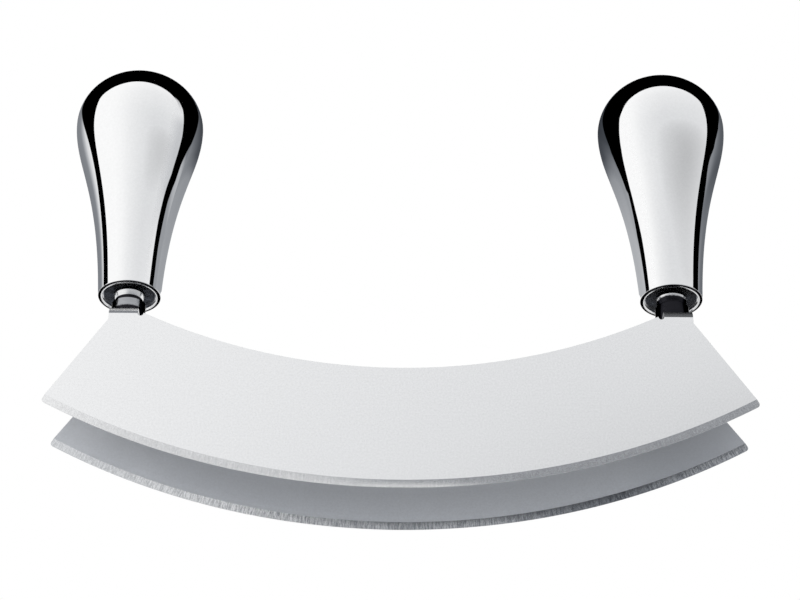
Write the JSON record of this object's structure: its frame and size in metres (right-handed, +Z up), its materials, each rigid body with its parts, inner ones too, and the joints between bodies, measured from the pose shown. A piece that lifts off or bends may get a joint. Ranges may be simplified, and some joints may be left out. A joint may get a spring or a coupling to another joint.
{
  "type": "mincing knife",
  "caption": "Rocking knife with parallel curved steel blades, ground to a bevel and joined by bent tabs under upright hollow polished club handles, for mincing herbs.",
  "frame": {"origin": "on the surface the cutting edges touch, midway between the blades and between the handles", "axes": "+X along the blades to the right handle, +Y from the front blade to the rear blade, +Z up towards the handles"},
  "size_m": [0.2198, 0.0418, 0.1601],
  "materials": {
    "blade_steel": "satin brushed along the blade, ground bevel",
    "polished_steel": "mirror polished",
    "turned_steel": "fine turned",
    "plug_steel": "dull, dark"
  },
  "bodies": {
    "root": {"front_blade": "blade_steel", "rear_blade": "blade_steel", "left_handle_shell": "polished_steel", "right_handle_shell": "polished_steel", "left_end_plug": "plug_steel", "right_end_plug": "plug_steel", "left_stud": "turned_steel", "right_stud": "turned_steel", "left_lock_nut": "turned_steel", "right_lock_nut": "turned_steel", "left_clench_washer": "turned_steel", "right_clench_washer": "turned_steel"}
  },
  "joints": []
}
